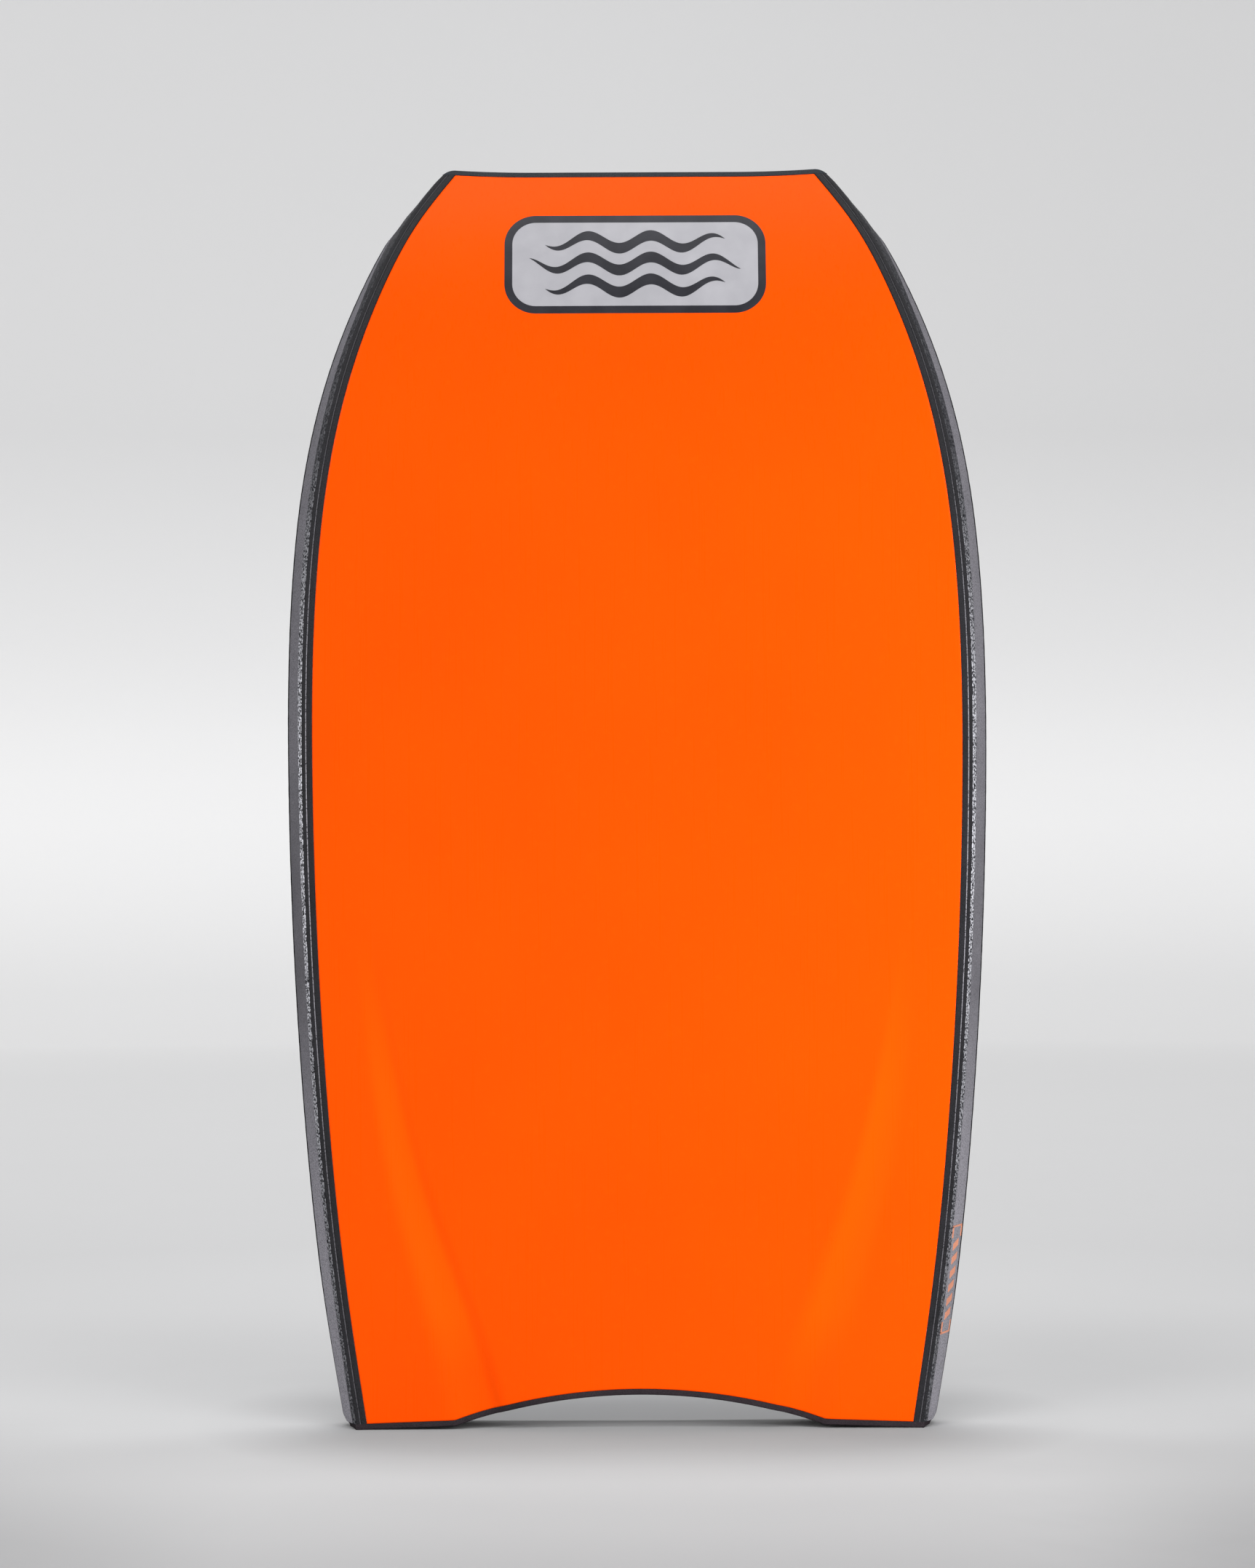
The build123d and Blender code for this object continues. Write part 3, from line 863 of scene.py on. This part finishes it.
MARK_LOW, MARK_HIGH = 0.082, 0.176
for name, v, inward in (("low", MARK_LOW, 1), ("high", MARK_HIGH, -1)):
    side_box("mark_bar_" + name, v - 0.0008, v + 0.0008, 0.008, 0.031)
    for edge_name, w in (("near", 0.008), ("far", 0.0296)):
        ends = sorted((v, v + inward * 0.010))
        side_box("mark_arm_%s_%s" % (name, edge_name), ends[0], ends[1], w, w + 0.0014)
for k in range(6):
    v = MARK_LOW + 0.0115 + 0.0122 * k
    side_box("mark_stripe_%d" % k, v, v + 0.0062, 0.013, 0.025, 0.0040)

# ---------------------------------------------------------------- stage, lights, camera
FLOOR_R = 6.0
CURVE_R = 1.6
WALL_TOP = 7.0
# How much light the stage gives off itself: (radius on the floor, or FLOOR_R + height on the wall; glow).
STAGE_GLOW = [
    (0.0, 0.15), (1.6, 0.145), (4.35, 0.36), (6.10, 0.475), (6.267, 0.54), (6.44, 0.585),
    (6.62, 0.57), (6.89, 0.48), (7.45, 0.345), (8.02, 0.355), (8.5, 0.358), (11.0, 0.28),
]
GLOW_TILT = 0.03  # how much more the floor gives off behind the board than in front of it
TILT_DEPTH, TILT_REACH = 0.5, 3.0
GLOW_RIGHT = -0.035  # and how much less on the right
RIGHT_REACH = 1.5
FOOT_HALF = 0.27
PAST_FOOT = 0.05  # this far past the foot's ends, less glow is lost
PAST_FOOT_SHARE = 0.2
# How much glow is lost near the board's foot, a painted contact shadow: (distance, glow).
FOOT_DIM = [(0.0, 0.15), (0.10, 0.13), (0.20, 0.04), (0.35, 0.0)]
# How much glow is lost beside the board, a painted shade: (distance from the midline, glow), and how much
# more on the right.
SIDE_DIM = [(0.33, 0.0), (0.43, 0.022), (0.52, 0.031), (0.80, 0.030), (1.10, 0.0)]
SIDE_DIM_RIGHT = 2.0
SIDE_DIM_BACK = (0.35, 0.85)  # between these y it fades out
# How much greyer the floor is towards the front, a painted shade: (y, share).
FRONT_PAINTED_SHADE = [(-1.1, 1.0), (-0.90, 0.95), (-0.72, 0.62), (-0.58, 0.38), (-0.47, 0.29), (-0.30, 0.0)]
FRONT_HALF = 0.3  # past this far from the midline the shade begins further back
FRONT_SPREAD = 1.2


def stage_material():
    """Pale matt board that gives off a painted glow of its own, strongest on its curve, like a studio sweep
    lit from behind.
    """
    material, tree, bsdf, coords = new_material("stage_pale")
    grain = noise(tree, coords, 3.0, 3.0)
    tone = blended(tree, grain, (0.495, 0.495, 0.50), (0.505, 0.505, 0.51))
    # painted shade: the floor turns greyer towards the front
    tone = blended(tree, attribute(tree, "front"), tone, (0.32, 0.32, 0.325))
    tree.links.new(tone, bsdf.inputs["Base Color"])
    # painted glow: light that the stage gives off itself
    tree.links.new(attribute(tree, "glow", "Color"), bsdf.inputs["Emission Color"])
    bsdf.inputs["Emission Strength"].default_value = 1.0
    bsdf.inputs["Roughness"].default_value = 0.9
    bsdf.inputs["Specular IOR Level"].default_value = 0.1
    return material


def make_stage():
    profile = [(r, 0.0) for r in (*np.arange(0.0, 1.6, 0.1), *np.linspace(1.6, FLOOR_R, 18))]
    for a in np.linspace(0, 90, 19)[1:]:
        c, s = math.cos(math.radians(a)), math.sin(math.radians(a))
        profile.append((FLOOR_R + CURVE_R * s, CURVE_R * (1 - c)))
    profile += [(FLOOR_R + CURVE_R, z) for z in (1.8, 2.0, 2.25, 2.5, 2.75, 3.0, 4.0, 5.0, WALL_TOP)]
    points, faces, turns = [(0, 0, 0)], [], 96
    for r, z in profile[1:]:
        for k in range(turns):
            a = 2 * math.pi * k / turns
            points.append((r * math.cos(a), r * math.sin(a), z))
    for k in range(turns):
        faces.append(((0, 1 + k, 1 + (k + 1) % turns), 0))
    for i in range(len(profile) - 2):
        for k in range(turns):
            a, b = 1 + i * turns + k, 1 + i * turns + (k + 1) % turns
            faces.append(((a, a + turns, b + turns, b), 0))
    floor = finish_mesh("studio_floor", points, faces, [stage_material()], None)
    spots, glows = zip(*STAGE_GLOW)
    floor.data.color_attributes.new("glow", "FLOAT_COLOR", "POINT")
    floor.data.attributes.new("front", "FLOAT", "POINT")
    glow, front = floor.data.color_attributes["glow"], floor.data.attributes["front"]
    for vertex, item, shade in zip(floor.data.vertices, glow.data, front.data):
        x, y, z = vertex.co
        spot = min(math.hypot(x, y), FLOOR_R) + z
        level = float(np.interp(spot, spots, glows))
        level += GLOW_TILT * min(max(y / TILT_DEPTH, -1.0), 1.0) * max(0.0, 1 - spot / TILT_REACH)
        # Painted contact shadow near the foot and painted shade beside the board, taken out of the glow.
        past = max(abs(x) - FOOT_HALF, 0.0)
        near_foot = float(np.interp(math.hypot(past, y) + z, *zip(*FOOT_DIM)))
        level -= near_foot * (1 - (1 - PAST_FOOT_SHARE) * min(past / PAST_FOOT, 1.0))
        beside = float(np.interp(abs(x), *zip(*SIDE_DIM))) * (SIDE_DIM_RIGHT if x > 0 else 1.0)
        level -= beside * float(np.interp(y, SIDE_DIM_BACK, (1.0, 0.0)))
        level += GLOW_RIGHT * min(max(x / RIGHT_REACH, 0.0), 1.0)
        level = max(level, 0.0)
        item.color = (level, level, level, 1.0)
        # Painted shade, greyer towards the front, and beginning further back at the sides.
        spread = FRONT_SPREAD * max(abs(x) - FRONT_HALF, 0.0)
        shade.value = float(np.interp(y - spread, *zip(*FRONT_PAINTED_SHADE)))
    floor.visible_glossy = False


def softbox(name, at, aim, size, power):
    data = bpy.data.lights.new(name, "AREA")
    data.shape = "RECTANGLE"
    data.size, data.size_y = size
    data.energy = power
    light = bpy.data.objects.new(name, data)
    light.location = at
    light.rotation_euler = (Vector(aim) - Vector(at)).to_track_quat("-Z", "Y").to_euler()
    light.visible_camera = False
    bpy.context.scene.collection.objects.link(light)
    return light


make_stage()
softbox("key_right", (3.4, -3.8, 2.6), (0.0, 0.0, 0.45), (2.4, 2.4), 98.0)
softbox("fill_left", (-3.4, -3.8, 2.6), (0.0, 0.0, 0.45), (2.4, 2.4), 94.0)
softbox("top_front", (0.0, -3.2, 5.6), (0.0, 0.0, 0.5), (3.6, 1.6), 125.0)
side = softbox("side_right", (0.82, -0.85, 0.42), (0.2, 0.0, 0.42), (0.15, 0.95), 10.0)
side.visible_glossy = False
lit = bpy.data.collections.new("lit_from_the_side")
for piece in board_pieces:
    lit.objects.link(piece)
side.light_linking.receiver_collection = lit
softbox("overhead", (0.0, 0.72, 4.2), (0.0, 0.2, 0.0), (1.8, 0.6), 62.0)
softbox("back_light", (0.0, 3.6, 3.0), (0.0, 0.0, 0.6), (3.0, 2.0), 28.0)

world = bpy.data.worlds.new("studio_air")
bpy.context.scene.world = world
world.use_nodes = True
background = world.node_tree.nodes["Background"]
background.inputs["Color"].default_value = (0.9, 0.92, 1.0, 1)
background.inputs["Strength"].default_value = 0.05

VIEW_DISTANCE = 4.0
VIEW_X, VIEW_Z = -0.0087, 0.5677
VIEW_ROLL = math.radians(0.24)
camera_data = bpy.data.cameras.new("camera")
camera_data.sensor_width = 36.0
camera_data.lens = 104.35
camera = bpy.data.objects.new("camera", camera_data)
camera.location = (VIEW_X, cad_low.y - VIEW_DISTANCE, VIEW_Z)
camera.rotation_euler = (math.radians(90), VIEW_ROLL, 0.0)
bpy.context.scene.collection.objects.link(camera)
bpy.context.scene.camera = camera

view = bpy.context.scene.view_settings
view.view_transform = "Standard"
view.look = "None"
view.exposure = 0.0
